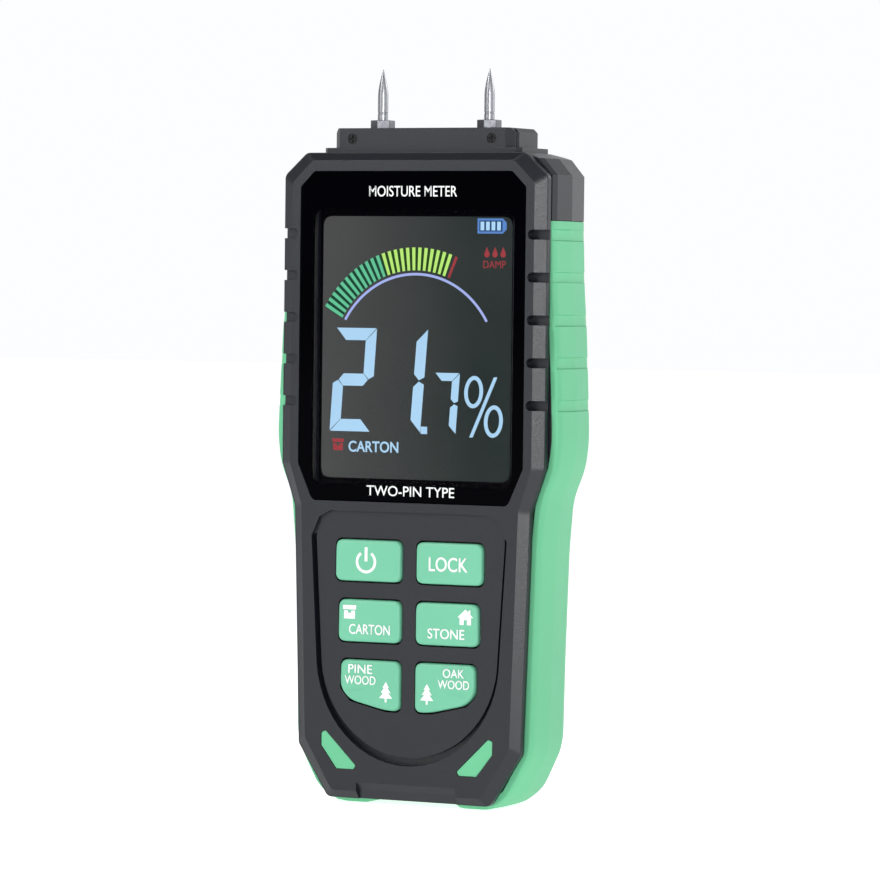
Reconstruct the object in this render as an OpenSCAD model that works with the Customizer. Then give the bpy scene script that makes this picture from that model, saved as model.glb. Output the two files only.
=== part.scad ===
// Handheld pin-type moisture meter.
// X is across the meter, the front faces -Y, +Z points to the pins, and it stands on Z = 0.
// Depths along Y are measured from the front rim plane, and put() moves them to the shared frame.

/* [Case] */
// Overall depth from the front rim to the back of the boot
depth = 29; // [28:0.5:32]
// Half width of the front bezel beside the display
bezel_hw = 34.4; // [33.8:0.2:35]
// Half width of the front bezel at its lower end
grip_hw = 29.2; // [28.6:0.2:29.6]
// Height of the case's top edge above the feet
case_top = 152.2; // [151.5:0.1:153]
// Height of the bezel's lower edge above the feet
bezel_base = 1.2; // [1:0.1:1.5]
// Thickness of the front bezel plate
plate_t = 3; // [2.8:0.1:3.2]
// Depth of the bevel round the bezel
bevel_d = 1.5; // [1.3:0.1:2]
// Wall thickness of the rear housing
wall = 2; // [1.6:0.1:2.2]

/* [Rubber boot] */
// Half width of the boot where it bulges most
boot_hw = 37.7; // [37.2:0.1:38]
// Thickness of the boot
boot_t = 1.6; // [1.2:0.1:1.8]
// Height at which the boot ends below the shoulders
boot_top = 136.5; // [136:0.5:138]
// Depth of the boot's front edge behind the rim plane
boot_front = 3.4; // [3.2:0.1:3.6]

/* [Display] */
// Half width of the glossy window
window_hw = 29.4; // [28.8:0.1:29.6]
// Top edge of the window
window_top = 147.8; // [147:0.1:148]
// Bottom edge of the window
window_base = 70.9; // [70.5:0.1:71.5]
// Thickness of the window
window_t = 1.2; // [1:0.1:1.4]
// Depth of the window's face below the rim plane
window_sink = 0.4; // [0.3:0.1:0.6]
// Half width of the display's lit area
lcd_hw = 24.3; // [23.5:0.1:24.5]

/* [Keypad] */
// Depth of the keypad panel below the rim plane
panel_sink = 0.9; // [0.7:0.1:1.1]
// Half of the gap between the two columns of keys
key_gap_h = 2; // [1.8:0.1:2.2]
// Clearance round each key
key_clear = 0.35; // [0.3:0.05:0.45]
// Travel of a key
key_travel = 0.8; // [0.6:0.1:0.8]

/* [Electrode pins] */
// Half of the spacing between the two pins
pin_x = 14; // [13:0.5:15]
// Radius of a pin's shank
pin_r = 1.225; // [1.2:0.005:1.25]
// Depth of the pins' axes behind the rim plane
pin_depth = 11.5; // [11:0.5:12]
// Height of the pins' tips above the feet
pin_top = 172; // [170:1:174]
// Height of the cone that ends each pin
pin_cone = 6; // [5:0.5:7]
// Width across the flats of a pin nut
nut_af = 5; // [4.8:0.1:5.2]

/* [Batteries] */
// Radius of a cell
cell_r = 5.25; // [5.05:0.05:5.25]
// Length of a cell's can
cell_len = 43.5; // [43.3:0.1:43.5]
// Spacing of the cells
cell_pitch = 11.2; // [11.2:0.1:11.4]

/* [Hidden] */
$fn = 48;

black = [0.16, 0.16, 0.17];
green = [0.46, 0.82, 0.61];
mint = [0.50, 0.83, 0.67];
steel = [0.75, 0.76, 0.78];
brass = [0.80, 0.66, 0.35];

mid_z = (case_top + bezel_base) / 2;
rest_gap = 0.1;
inlay_t = 2.2;
slot_zs = [for (i = [0:4]) 133.3 - 9.81 * i];
slot_h = 2.3;
scoop_hw = 13;
slot_in = 30;
slot_d = 2.6;

// Half outlines, from the top centre down the right side
bezel_pts = [[28.6, case_top], [bezel_hw, 146.9], [bezel_hw, 79.5], [30.9, 69.5],
    [grip_hw, 13.5], [21.3, bezel_base]];
window_pts = [[window_hw - 3.6, window_top], [window_hw, window_top - 3.6], [window_hw, 79.5],
    [25.9, 71.7], [25.1, window_base]];
body_pts = [[27.4, case_top], [31.9, 150.9], [35.4, 147], [35.4, boot_top], [35.9, 121],
    [36.6, 112], [37.4, 95], [boot_hw, 86], [boot_hw - 0.8, 79.5], [33.7, 72], [32.6, 60],
    [31.8, 36], [31.4, 16], [30.6, 12.5], [25.6, 3.5], [20.5, 0], [12.5, 0], [11.2, 1.1]];

// Width of the rear body at each depth, as a fraction of its outline
stations = [[boot_front, 0.975], [5, 0.99], [12, 1], [22, 0.95], [depth, 0.85]];
back_sink = 0.4;

// Keypad: bottom, top and outer half width of each row of keys
key_rows = [[52.2, 61.9, 19.3], [38, 47.9, 18.4], [22.1, 33.8, 17.7]];
flange_y = plate_t + rest_gap;
flange_t = 0.8;
bump_y = flange_y + flange_t + key_travel + 0.2;
groove_rx = 24;
groove_rz = 25.5;
groove_z = 35;
groove_d = 2.4;

// Inside layers, as depths behind the rim plane
lcd_mid_z = 107;
lcd_y = plate_t + rest_gap;
light_y = lcd_y + 2;
board_y = 8.4;
board_t = 1.6;
dome_t = 0.4;
bosses = [[24.5, 142.5], [21.4, 16]];
posts = [[18.4, 142.8], [21.5, 67.8]];
boss_y = 14;

// Battery bay
bay_z = 12;
bay_hw = 17.2;
bay_y = 14.6;
clip_t = 0.5;
nub_h = 1;
spring_h = 4.6;
bay_len = 2 * clip_t + cell_len + nub_h + spring_h;
cell_y = 20.4;
door_t = 1.8;
door_gap = 0.25;
door_hw = 17.9;
door_z = [9.5, 68];

// Head
block_hw = 23.5;
block_base = case_top + 1.2;
block_top = 158;
cover_y = [4.4, 6.6];
neck_t = 1.2;
flange_hw = 25.8;
cover_screw_x = 18.2;
nut_h = 2;
thread_r = 1;

module mirrored(pts) {
    polygon(concat(pts, [for (i = [len(pts) - 1:-1:0]) [-pts[i][0], pts[i][1]]]));
}

// Extrudes a front-view outline from depth y0 back to depth y1
module put(y0, y1) {
    translate([0, y1 - depth / 2, 0]) rotate([90, 0, 0]) linear_extrude(y1 - y0) children();
}

// A round solid whose axis runs front to back
module rod(x, z, r, y0, y1, sides = 32) {
    put(y0, y1) translate([x, z]) circle(r, $fn = sides);
}

// ---- Front ----

module bezel_outline(inset = 0) {
    offset(delta = -inset) offset(r = -3, $fn = 32) offset(delta = 3)
        offset(r = 2, $fn = 32) offset(delta = -2) mirrored(bezel_pts);
}

module window_outline(grow = 0) {
    offset(delta = grow) offset(r = 1.2, $fn = 32) offset(delta = -1.2) mirrored(window_pts);
}

// U-shaped panel outline: near-straight sides on a half ellipse
module panel_outline(side, low) {
    mirrored(concat([[20.5 - side, 68.6], [23.6 - side, 67], [25.6 - side, 62.5]],
        [for (a = [0:-6:-90]) [(groove_rx - side) * cos(a), groove_z + (groove_rz - low) * sin(a)]]));
}

module inlay_outline(inset = 0) {
    for (s = [-1, 1]) scale([s, 1]) offset(r = 0.5, $fn = 24) offset(delta = -0.5 - inset)
        polygon([[21.3, 16.9], [22.5, 16.5], [22.5, 13.3], [18.4, 8], [13.8, 8], [13.2, 9]]);
}

module key_outline(side, row, grow = 0) {
    z0 = key_rows[row][0];
    z1 = key_rows[row][1];
    xo = key_rows[row][2];
    low = row == 2 ? [[6, z0 + 0.1], [15.2, z0 + 2.2], [xo, z0 + 5]] : [[xo, z0]];
    scale([side, 1]) offset(delta = grow) offset(r = 1.4, $fn = 32) offset(delta = -1.4)
        polygon(concat([[key_gap_h, z1], [key_gap_h, z0]], low, [[xo - 0.1, z1]]));
}

module slot_outline(z) {
    for (s = [-1, 1]) scale([s, 1]) {
        translate([slot_in + slot_h / 2, z]) circle(slot_h / 2);
        translate([slot_in + slot_h / 2, z - slot_h / 2]) square([8, slot_h]);
    }
}

module front_plate() {
    bevel_x = (bezel_hw - 2.76) / bezel_hw;
    bevel_z = 1 - 1.8 / (case_top - mid_z);
    translate([0, bevel_d - depth / 2, mid_z]) rotate([90, 0, 0])
        linear_extrude(bevel_d, scale = [bevel_x, bevel_z], slices = 1, segments = 0)
            translate([0, -mid_z]) bezel_outline(0.02);
    put(bevel_d - 0.1, plate_t) bezel_outline();
    // Skirt that locates the rear housing
    put(plate_t, 6.5) difference() {
        bezel_outline(5.4);
        bezel_outline(6.6);
    }
    for (p = bosses) for (s = [-1, 1]) rod(s * p[0], p[1], 2.4, plate_t, boss_y);
    for (p = posts) for (s = [-1, 1]) rod(s * p[0], p[1], 1.9, plate_t, board_y);
}

// Shallow scoop in the middle of the lower edge
module scoop() {
    translate([0, -depth / 2, 0]) rotate([90, 0, 90]) linear_extrude(2 * scoop_hw, center = true)
        polygon([[-1, 5.6], [0, 5.1], [1.1, 3.4], [2.2, 1], [2.2, 0], [-1, 0]]);
}

module front_housing() {
    color(black) difference() {
        front_plate();
        put(-1, window_sink + window_t) window_outline(0.1);
        put(-1, 9) lcd_opening(0);
        put(-1, panel_sink) panel_outline(0, 0);
        put(-1, groove_d) difference() {
            panel_outline(0, 0);
            panel_outline(0.9, 1.9);
            translate([-40, 63]) square([80, 10]);
        }
        for (row = [0:2]) for (s = [-1, 1]) put(-1, 4) key_outline(s, row, key_clear);
        put(-1, inlay_t) inlay_outline();
        scoop();
        for (z = slot_zs) put(-1, slot_d) slot_outline(z);
        for (p = bosses) for (s = [-1, 1]) rod(s * p[0], p[1], 1.25, 5, boss_y + 1);
        for (p = posts) for (s = [-1, 1]) rod(s * p[0], p[1], 0.95, 4.5, board_y + 1);
    }
}

module corner_inlays() {
    color(green) put(0.15, inlay_t) inlay_outline(0.05);
}

// ---- Rear body and boot ----

// The body's outline, with the stretch beside the boot let in by inset
module body_outline(inset, shoulder_inset) {
    step_z = boot_top + 0.15;
    difference() {
        offset(delta = -inset) mirrored(body_pts);
        translate([-50, step_z]) square([100, 50]);
    }
    intersection() {
        offset(delta = -shoulder_inset) mirrored(body_pts);
        translate([-50, step_z - 0.01]) square([100, 50]);
    }
}

// Side view of the rear body, with its own insets above and below
module side_profile(top, bottom, back) {
    translate([-50, -depth / 2, 0]) rotate([90, 0, 90]) linear_extrude(100) intersection() {
        polygon([[-5, 1.2 + bottom], [boot_front, 1.2 + bottom], [4.8, bottom],
            [25 - bottom / 2, bottom], [depth, 3.5 + bottom], [depth, 147 - top],
            [22, 151.4 - top], [19, case_top - top], [4, case_top - top],
            [boot_front, 151.6 - top], [-5, 151.6 - top]]);
        translate([-6, -1]) square([back + 6, 160]);
    }
}

// Tapered slices of the outline, one from each station back to the next
module rear_shape(inset, back = depth, shoulder_inset = undef) {
    top = is_undef(shoulder_inset) ? inset : shoulder_inset;
    intersection() {
        for (i = [0:len(stations) - 2]) {
            s0 = stations[i][1];
            s1 = stations[i + 1][1];
            h = stations[i + 1][0] - stations[i][0];
            translate([0, stations[i + 1][0] - depth / 2, 0]) rotate([90, 0, 0])
                linear_extrude(h, scale = [s0 / s1, 1], slices = 1, segments = 0)
                    scale([s1, 1]) body_outline(inset, top);
        }
        side_profile(top, inset, back);
    }
}

module level(z0, z1) {
    translate([-50, -50, z0]) cube([100, 100, z1 - z0]);
}

module rubber_boot() {
    color(green) difference() {
        intersection() {
            rear_shape(0);
            level(-1, boot_top);
        }
        rear_shape(boot_t);
    }
}

module bay_box(grow, y0, y1) {
    put(y0, y1) translate([-bay_hw - grow, bay_z - grow])
        square([2 * (bay_hw + grow), bay_len + 2 * grow]);
}

module door_outline(grow = 0) {
    translate([0, (door_z[0] + door_z[1]) / 2]) offset(r = 2.5 + grow)
        square([2 * door_hw - 5, door_z[1] - door_z[0] - 5], center = true);
}

module rear_housing() {
    color(black) difference() {
        union() {
            difference() {
                rear_shape(boot_t + 0.05, depth - back_sink, 0);
                rear_shape(boot_t + wall, depth - back_sink - wall);
            }
            bay_box(1.4, bay_y - 1.4, depth - back_sink - wall + 0.5);
            for (p = bosses) for (s = [-1, 1])
                rod(s * p[0], p[1], 3.6, boss_y + rest_gap, depth - back_sink - 0.5);
        }
        bay_box(0, bay_y, depth);
        put(depth - back_sink - door_t, depth) door_outline(door_gap);
        for (p = bosses) for (s = [-1, 1]) {
            rod(s * p[0], p[1], 2.6, 16, depth + 1);
            rod(s * p[0], p[1], 1.6, boss_y - 1, 17);
        }
        // Passages for the two pin sockets
        for (s = [-1, 1]) translate([s * pin_x, pin_depth - depth / 2, 140]) cylinder(r = 2.5, h = 20);
    }
}

module battery_door() {
    face = depth - back_sink;
    color(black) union() {
        difference() {
            put(face - door_t + 0.05, face) door_outline();
            // Thumb recess with three grip ribs' gaps
            for (i = [0:3]) put(face - 0.6, face + 1)
                translate([0, 60 - 2 * i]) square([14, 1], center = true);
        }
        // Ribs that hold the cells down
        for (x = [-0.5, 0.5]) put(cell_y + cell_r + 0.15, face - door_t + 0.2)
            translate([x * cell_pitch, 37]) square([1, 30], center = true);
    }
}

// ---- Display ----

module lcd_opening(grow) {
    translate([0, lcd_mid_z]) square([2 * (lcd_hw + 1.3 + grow), 65.6 + 2 * grow], center = true);
}

module display_window() {
    color([0.02, 0.02, 0.03]) put(window_sink, window_sink + window_t - 0.15) window_outline();
}

module window_tape() {
    color([0.1, 0.1, 0.1]) put(window_sink + window_t - 0.15, window_sink + window_t) difference() {
        window_outline(-0.3);
        lcd_opening(0.3);
    }
}

module lcd_panel() {
    color([0.25, 0.3, 0.3]) put(lcd_y - 1, light_y) lcd_opening(-0.2);
}

module lcd_backlight() {
    color("white") put(light_y, light_y + 2.8) lcd_opening(-0.6);
}

module lcd_connector() {
    color([0.9, 0.6, 0.2]) {
        put(light_y, board_y) translate([0, 71]) square([40, 2], center = true);
        put(light_y - 1.1, light_y) translate([0, 71.6]) square([40, 3.2], center = true);
    }
}

module main_board() {
    color([0.1, 0.4, 0.2]) put(board_y, board_y + board_t) difference() {
        union() {
            translate([-26.4, 66]) square([52.8, 78.8]);
            translate([-24, 15]) square([48, 52]);
        }
        for (p = bosses) for (s = [-1, 1]) translate([s * p[0], p[1]]) circle(2.9);
        for (p = posts) for (s = [-1, 1]) translate([s * p[0], p[1]]) circle(1.05);
    }
}

module controller_chip() {
    back = board_y + board_t;
    color([0.1, 0.1, 0.1]) {
        put(back + 0.1, back + 1.5) translate([0, 100]) square(10, center = true);
        for (s = [-1, 1]) for (i = [-3.5:3.5]) put(back, back + 0.3)
            translate([s * 5.6, 100 + 1.2 * i]) square([1.6, 0.5], center = true);
    }
}

module buzzer() {
    color([0.12, 0.12, 0.12]) difference() {
        rod(14, 120, 6, board_y + board_t, board_y + board_t + 5);
        rod(14, 120, 1, board_y + board_t + 3, board_y + board_t + 6);
    }
}

// ---- Keypad ----

function key_x(side, row) = side * (key_gap_h + key_rows[row][2]) / 2;
function key_z(row) = (key_rows[row][0] + key_rows[row][1]) / 2;

module switch_domes() {
    color(steel) for (row = [0:2]) for (s = [-1, 1])
        rod(key_x(s, row), key_z(row), 3.5, board_y - dome_t, board_y);
}

module keypad_mat() {
    color([0.35, 0.35, 0.36]) difference() {
        union() {
            put(6.8, board_y) translate([-21, 20.4]) square([42, 43.4]);
            for (row = [0:2]) for (s = [-1, 1])
                rod(key_x(s, row), key_z(row), 3, bump_y, 7);
        }
        for (row = [0:2]) for (s = [-1, 1])
            rod(key_x(s, row), key_z(row), 4, board_y - dome_t - 0.2, board_y + 1);
    }
}

module key(side, row) {
    color(mint) {
        put(0.4, flange_y) key_outline(side, row);
        put(0, 0.4) key_outline(side, row, -0.5);
        put(flange_y, flange_y + flange_t) key_outline(side, row, 0.7);
    }
}

module power_key() { key(-1, 0); }
module hold_key() { key(1, 0); }
module carton_key() { key(-1, 1); }
module masonry_key() { key(1, 1); }
module softwood_key() { key(-1, 2); }
module hardwood_key() { key(1, 2); }

// ---- Head and electrode pins ----

module block_outline(hw, y0, y1, cut) {
    polygon([[-hw + cut, y0], [hw - cut, y0], [hw, y0 + cut], [hw, y1], [-hw, y1], [-hw, y0 + cut]]);
}

// The head's front view, with its top corners cut
module head_profile(hw) {
    translate([0, depth, 0]) rotate([90, 0, 0]) linear_extrude(2 * depth)
        polygon([[-hw, case_top - 1], [hw, case_top - 1], [hw, block_top - 1], [hw - 1, block_top],
            [1 - hw, block_top], [-hw, block_top - 1]]);
}

module pin_block() {
    color(black) translate([0, -depth / 2, 0]) difference() {
        union() {
            translate([0, 0, case_top]) linear_extrude(block_base - case_top)
                block_outline(flange_hw, cover_y[0] - 0.4, 18.6, 1.2);
            intersection() {
                translate([0, 0, block_base - 0.1]) linear_extrude(block_top - block_base + 0.1) {
                    block_outline(block_hw - 1, cover_y[1] + 0.02, cover_y[1] + neck_t + 0.1, 0.1);
                    block_outline(block_hw, cover_y[1] + neck_t, 17.8, 0.3);
                }
                head_profile(block_hw);
            }
        }
        for (s = [-1, 1]) translate([s * pin_x, pin_depth, case_top - 1]) cylinder(r = 2.3, h = 10);
    }
}

module head_cover() {
    color(black) translate([0, -depth / 2, block_base]) difference() {
        intersection() {
            linear_extrude(block_top - block_base) block_outline(block_hw, cover_y[0], cover_y[1], 1.9);
            translate([0, 0, -block_base]) head_profile(block_hw);
        }
        for (s = [-1, 1]) translate([s * cover_screw_x, 0, 2.1]) rotate([-90, 0, 0]) cylinder(r = 1.2, h = 20);
    }
}

module cover_screws() {
    color([0.2, 0.2, 0.2]) for (s = [-1, 1])
        translate([s * cover_screw_x, cover_y[0] + 0.1 - depth / 2, block_base + 2.1]) difference() {
            rotate([-90, 0, 0]) cylinder(r = 1.15, h = 2);
            cube([0.35, 0.8, 1.6], center = true);
            cube([1.6, 0.8, 0.35], center = true);
        }
}

module on_pin(side) {
    translate([side * pin_x, pin_depth - depth / 2, 0]) children();
}

module pin(side) {
    shank = block_top + nut_h + 0.05;
    color(steel) on_pin(side) rotate_extrude() polygon([[0, 147], [thread_r, 147], [thread_r, shank],
        [pin_r, shank], [pin_r, pin_top - pin_cone], [0.12, pin_top - 0.1], [0, pin_top]]);
}

module nut(side) {
    color(steel) on_pin(side) translate([0, 0, block_top]) difference() {
        rotate([0, 0, 30]) cylinder(r = nut_af / sqrt(3), h = nut_h, $fn = 6);
        translate([0, 0, -1]) cylinder(r = thread_r + 0.04, h = nut_h + 2);
    }
}

module socket(side) {
    color(brass) on_pin(side) translate([0, 0, 146]) difference() {
        cylinder(r = 2.2, h = block_top - 146);
        translate([0, 0, 0.8]) cylinder(r = thread_r + 0.04, h = 14);
    }
}

module lead(side) {
    color(side < 0 ? "red" : "white")
        translate([side * pin_x, board_y + board_t + 0.5 - depth / 2, 138]) cylinder(r = 0.45, h = 8);
}

module left_pin() { pin(-1); }
module right_pin() { pin(1); }
module left_nut() { nut(-1); }
module right_nut() { nut(1); }
module left_socket() { socket(-1); }
module right_socket() { socket(1); }
module left_lead() { lead(-1); }
module right_lead() { lead(1); }

// ---- Power ----

// The middle cell points down, so that the three are in series
function cell_up(i) = i != 0;

module at_cell(i) {
    translate([i * cell_pitch, cell_y - depth / 2, bay_z]) children();
}

// Turns a cell's own column upside down inside the bay
module flip(up) {
    if (up) children();
    else translate([0, 0, bay_len]) rotate([180, 0, 0]) children();
}

module cell(i) {
    color([0.2, 0.3, 0.6]) at_cell(i) flip(cell_up(i)) translate([0, 0, clip_t + spring_h]) {
        cylinder(r = cell_r, h = cell_len);
        translate([0, 0, cell_len]) cylinder(r = 2, h = nub_h);
    }
}

module battery_1() { cell(-1); }
module battery_2() { cell(0); }
module battery_3() { cell(1); }

// A closed tube swept along a helix
module coil(r, wire, turns, rise) {
    steps = 14 * turns;
    sides = 8;
    ring = [for (k = [0:steps], j = [0:sides - 1])
        let (t = 360 * turns * k / steps, a = 360 * j / sides, q = r + wire * cos(a))
            [q * cos(t), q * sin(t), wire + rise * k / steps + wire * sin(a)]];
    sidesf = [for (k = [0:steps - 1], j = [0:sides - 1])
        [k * sides + j, (k + 1) * sides + j, (k + 1) * sides + (j + 1) % sides, k * sides + (j + 1) % sides]];
    polyhedron(ring, concat([[for (j = [0:sides - 1]) j]], sidesf,
        [[for (j = [sides - 1:-1:0]) steps * sides + j]]));
}

module battery_springs() {
    wire = 0.3;
    color(steel) for (i = [-1:1]) at_cell(i) flip(cell_up(i)) translate([0, 0, clip_t + 0.02])
        coil(3, wire, 4, spring_h - 2 * wire - 0.04);
}

module contact_plates() {
    color(steel) for (i = [-1:1]) at_cell(i) for (z = [0, bay_len - clip_t])
        translate([-4, -4, z]) cube([8, 8, clip_t]);
}

// ---- Fasteners ----

module screw(x, z, head_y, head_r, head_t, shank_r, tip_y) {
    difference() {
        union() {
            rod(x, z, head_r, head_y, head_y + head_t);
            rod(x, z, shank_r, tip_y, head_y + 0.1);
        }
        put(head_y + head_t - 0.8, head_y + head_t + 1) translate([x, z]) {
            square([head_r * 1.3, 0.6], center = true);
            square([0.6, head_r * 1.3], center = true);
        }
    }
}

module housing_screws() {
    color(steel) for (p = bosses) for (s = [-1, 1]) screw(s * p[0], p[1], 16, 2.4, 1.9, 1.2, 6);
}

module board_screws() {
    color(steel) for (p = posts) for (s = [-1, 1])
        screw(s * p[0], p[1], board_y + board_t, 1.8, 1.2, 0.9, 5);
}

front_housing();
rear_housing();
rubber_boot();
corner_inlays();
display_window();
window_tape();
lcd_panel();
lcd_backlight();
lcd_connector();
main_board();
controller_chip();
buzzer();
switch_domes();
keypad_mat();
power_key();
hold_key();
carton_key();
masonry_key();
softwood_key();
hardwood_key();
pin_block();
head_cover();
cover_screws();
left_pin();
right_pin();
left_nut();
right_nut();
left_socket();
right_socket();
left_lead();
right_lead();
battery_1();
battery_2();
battery_3();
battery_springs();
contact_plates();
battery_door();
housing_screws();
board_screws();
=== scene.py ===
"""Looks for the pin-type moisture meter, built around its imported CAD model."""
import math

import bmesh
import bpy
from mathutils import Matrix, Vector


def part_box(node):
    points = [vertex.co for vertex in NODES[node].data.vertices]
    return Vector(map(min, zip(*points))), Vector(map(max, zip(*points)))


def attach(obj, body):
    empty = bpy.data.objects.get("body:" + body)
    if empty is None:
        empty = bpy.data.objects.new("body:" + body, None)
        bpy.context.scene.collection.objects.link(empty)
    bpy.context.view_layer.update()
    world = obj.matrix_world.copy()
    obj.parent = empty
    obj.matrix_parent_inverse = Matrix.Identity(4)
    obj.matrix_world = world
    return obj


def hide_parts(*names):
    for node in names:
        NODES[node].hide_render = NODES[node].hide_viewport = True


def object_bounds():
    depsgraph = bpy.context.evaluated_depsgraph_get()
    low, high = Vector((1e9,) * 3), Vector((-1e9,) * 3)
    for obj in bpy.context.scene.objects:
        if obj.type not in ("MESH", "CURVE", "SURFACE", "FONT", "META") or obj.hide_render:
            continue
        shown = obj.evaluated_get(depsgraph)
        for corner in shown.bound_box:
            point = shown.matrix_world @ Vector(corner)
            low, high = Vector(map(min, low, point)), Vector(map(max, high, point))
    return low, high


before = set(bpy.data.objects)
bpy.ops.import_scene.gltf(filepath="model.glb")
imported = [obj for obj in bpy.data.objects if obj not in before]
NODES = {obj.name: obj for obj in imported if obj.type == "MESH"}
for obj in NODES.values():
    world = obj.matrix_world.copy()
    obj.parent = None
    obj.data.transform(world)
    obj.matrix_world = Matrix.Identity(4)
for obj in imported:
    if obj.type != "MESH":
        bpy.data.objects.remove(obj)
CAD_LO, CAD_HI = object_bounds()

MM = 0.001
FRONT_Y = CAD_LO.y / MM          # the rim plane, in millimetres
DEPTH = (CAD_HI.y - CAD_LO.y) / MM


def at(x, depth, z):
    """A point from millimetres: across, behind the rim plane, and above the feet."""
    return Vector((x * MM, (FRONT_Y + depth) * MM, z * MM))


# ---------------------------------------------------------------- materials

def new_material(name):
    mat = bpy.data.materials.new(name)
    mat.use_nodes = True
    nodes = mat.node_tree.nodes
    return mat, nodes, mat.node_tree.links, nodes["Principled BSDF"]


def noise(nodes, links, coords, scale, detail=3.0):
    tex = nodes.new("ShaderNodeTexNoise")
    tex.inputs["Scale"].default_value = scale
    tex.inputs["Detail"].default_value = detail
    links.new(coords, tex.inputs["Vector"])
    return tex.outputs["Fac"]


NOISE_SPAN = (0.3, 0.7)          # where most values of a noise lie
BROAD = 45                       # noise scale of slow changes of colour


def map_range(nodes, links, value, target, source=NOISE_SPAN):
    """Value moved from the source range to the target range, and held at its ends."""
    ramp = nodes.new("ShaderNodeMapRange")
    for name, level in zip(("From Min", "From Max", "To Min", "To Max"), source + target):
        ramp.inputs[name].default_value = level
    links.new(value, ramp.inputs["Value"])
    return ramp.outputs["Result"]


def blend(nodes, links, factor, first, second):
    """Colour from first to second as factor goes from 0 to 1."""
    mix = nodes.new("ShaderNodeMix")
    mix.data_type = "RGBA"
    mix.inputs["A"].default_value = (*first, 1)
    mix.inputs["B"].default_value = (*second, 1)
    links.new(factor, mix.inputs["Factor"])
    return mix.outputs["Result"]


def surface(name, color, rough, metal=0.0, grain=1500, bump=0.1, bump_mm=0.05, vary=0.06,
            rough_vary=0.05, coat=0.0, specular=0.5, stretch=(1, 1, 1)):
    """Principled surface whose colour, gloss and relief follow noise at the real grain size."""
    mat, nodes, links, bsdf = new_material(name)
    place = nodes.new("ShaderNodeTexCoord").outputs["Object"]
    if stretch != (1, 1, 1):
        mapping = nodes.new("ShaderNodeMapping")
        mapping.inputs["Scale"].default_value = stretch
        links.new(place, mapping.inputs["Vector"])
        place = mapping.outputs["Vector"]
    fine = noise(nodes, links, place, grain)
    broad = map_range(nodes, links, noise(nodes, links, place, BROAD, 2.0), (0, 1))
    darker = [c * (1 - vary) for c in color]
    lighter = [min(1, c * (1 + vary)) for c in color]
    links.new(blend(nodes, links, broad, darker, lighter), bsdf.inputs["Base Color"])
    gloss = map_range(nodes, links, fine, (rough - rough_vary, rough + rough_vary))
    links.new(gloss, bsdf.inputs["Roughness"])
    bsdf.inputs["Metallic"].default_value = metal
    bsdf.inputs["Specular IOR Level"].default_value = specular
    bsdf.inputs["Coat Weight"].default_value = coat
    bsdf.inputs["Coat Roughness"].default_value = 0.08
    relief = nodes.new("ShaderNodeBump")
    relief.inputs["Strength"].default_value = bump
    relief.inputs["Distance"].default_value = bump_mm * MM
    links.new(fine, relief.inputs["Height"])
    links.new(relief.outputs["Normal"], bsdf.inputs["Normal"])
    return mat


def glow(name, color):
    """Lit segment: its own light under a dark gloss, a little uneven from place to place."""
    mat, nodes, links, bsdf = new_material(name)
    place = nodes.new("ShaderNodeTexCoord").outputs["Object"]
    cloud = map_range(nodes, links, noise(nodes, links, place, 30, 1.0), (0, 1))
    shade = blend(nodes, links, cloud, color, [c * 0.88 for c in color])
    links.new(shade, bsdf.inputs["Emission Color"])
    bsdf.inputs["Base Color"].default_value = (*[c * 0.15 for c in color], 1)
    bsdf.inputs["Emission Strength"].default_value = 1.0
    bsdf.inputs["Roughness"].default_value = 0.25
    bsdf.inputs["Specular IOR Level"].default_value = 0.2
    return mat


BLACK = surface("black_plastic", (0.0065, 0.0078, 0.0125), 0.36, grain=2600, bump=0.45, bump_mm=0.06,
                vary=0.1)
GREEN = surface("boot_rubber", (0.125, 0.47, 0.25), 0.55, grain=3200, bump=0.2, bump_mm=0.03, vary=0.03,
                specular=0.35)
MINT = surface("key_rubber", (0.145, 0.47, 0.30), 0.42, grain=3800, bump=0.12, bump_mm=0.02, vary=0.025,
               specular=0.4)
GLASS_BLACK = surface("window_acrylic", (0.0006, 0.0006, 0.0012), 0.08, grain=300, bump=0.02, bump_mm=0.01,
                      vary=0.2, rough_vary=0.02, specular=0.02)
STEEL = surface("steel", (0.34, 0.35, 0.37), 0.36, metal=1.0, grain=700, bump=0.0, bump_mm=0.005, vary=0.03,
                rough_vary=0.01, stretch=(1, 1, 9))
NUT_STEEL = surface("nut_steel", (0.17, 0.175, 0.19), 0.42, metal=1.0, grain=1400, bump=0.05, bump_mm=0.02,
                    vary=0.06, rough_vary=0.04)
BRASS = surface("brass", (0.72, 0.52, 0.22), 0.3, metal=1.0, grain=1200, bump=0.15, bump_mm=0.02)
DARK_SCREW = surface("dark_screw", (0.012, 0.012, 0.013), 0.35, metal=0.6, grain=1500, bump=0.2)
WHITE_PLASTIC = surface("white_plastic", (0.82, 0.82, 0.8), 0.4, grain=2000)
BOARD = surface("board_laminate", (0.02, 0.16, 0.06), 0.35, grain=900, bump=0.2, vary=0.12, coat=0.3)
CHIP = surface("chip_plastic", (0.02, 0.02, 0.022), 0.5, grain=2500, bump=0.3)
FOAM = surface("tape_foam", (0.02, 0.02, 0.02), 0.8, grain=2500, bump=0.5)
AMBER = surface("connector_rubber", (0.7, 0.38, 0.1), 0.6, grain=2000)
MAT_RUBBER = surface("mat_rubber", (0.1, 0.1, 0.1), 0.6, grain=3000)
RED_WIRE = surface("lead_red", (0.6, 0.03, 0.03), 0.4, grain=2000)
WHITE_WIRE = surface("lead_white", (0.8, 0.8, 0.78), 0.4, grain=2000)
CELL = surface("cell_jacket", (0.04, 0.09, 0.28), 0.3, metal=0.4, grain=800, coat=0.5)
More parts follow.
